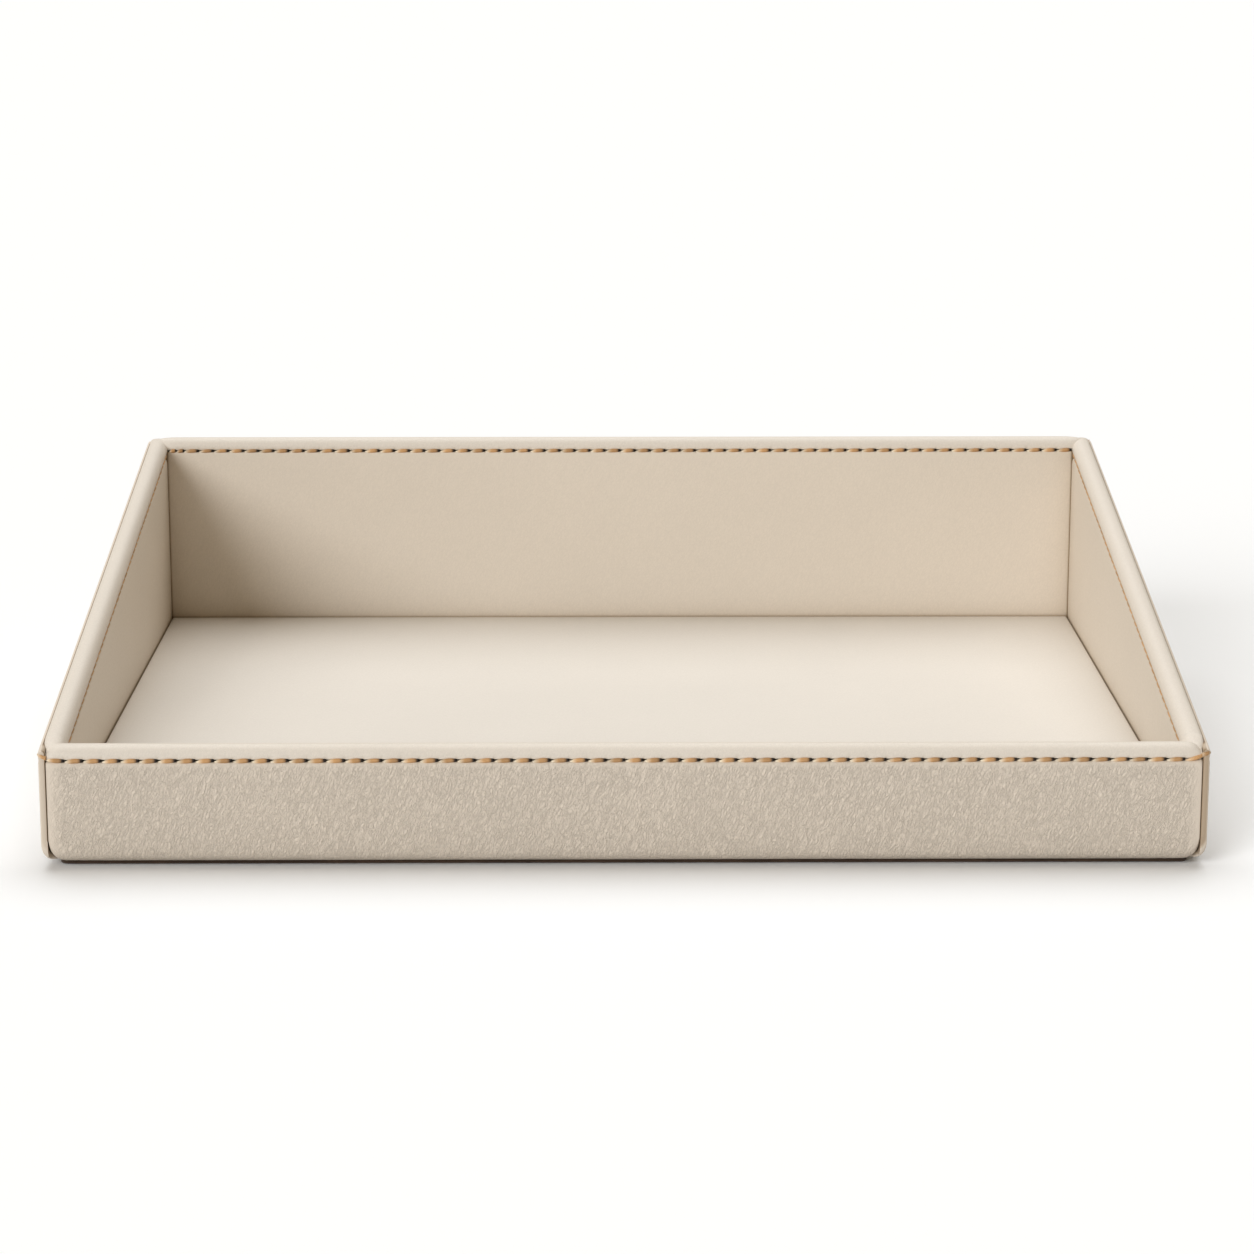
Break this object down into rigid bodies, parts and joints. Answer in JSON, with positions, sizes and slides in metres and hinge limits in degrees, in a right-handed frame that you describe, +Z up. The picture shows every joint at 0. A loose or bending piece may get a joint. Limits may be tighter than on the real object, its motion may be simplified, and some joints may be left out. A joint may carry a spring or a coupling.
{
  "type": "display tray",
  "caption": "Leather-covered display tray with a low front wall, a tall back wall, sloping sides, rolled rims and saddle stitching.",
  "frame": {"origin": "middle of the tray's outline, on the surface that it stands on", "axes": "+Z up, -Y towards the low front wall, X along the width"},
  "size_m": [0.314, 0.247, 0.0756],
  "materials": {
    "panel_leather": "pebble grained, beige",
    "rim_leather": "soft fine grain, pale beige",
    "lining_leather": "smooth, beige",
    "floor_leather": "smooth, pale beige",
    "board": "bare hardboard, not seen",
    "card": "bare grey card, not seen",
    "suede_base": "dark brown suede cloth",
    "thread": "waxed tan thread"
  },
  "bodies": {
    "root": {"suede_base": "suede_base", "base_board": "board", "levelling_card": "card", "floor_card": "card", "floor_leather": "floor_leather", "front_board": "board", "back_board": "board", "left_side_board": "board", "right_side_board": "board", "front_panel": "panel_leather", "back_panel": "panel_leather", "left_side_panel": "panel_leather", "right_side_panel": "panel_leather", "front_lining": "lining_leather", "back_lining": "lining_leather", "left_side_lining": "lining_leather", "right_side_lining": "lining_leather", "front_rim": "rim_leather", "back_rim": "rim_leather", "left_side_rim": "rim_leather", "right_side_rim": "rim_leather", "front_outer_thread": "thread", "front_inner_thread": "thread", "back_outer_thread": "thread", "back_inner_thread": "thread", "left_outer_thread": "thread", "left_inner_thread": "thread", "right_outer_thread": "thread", "right_inner_thread": "thread"}
  },
  "joints": []
}
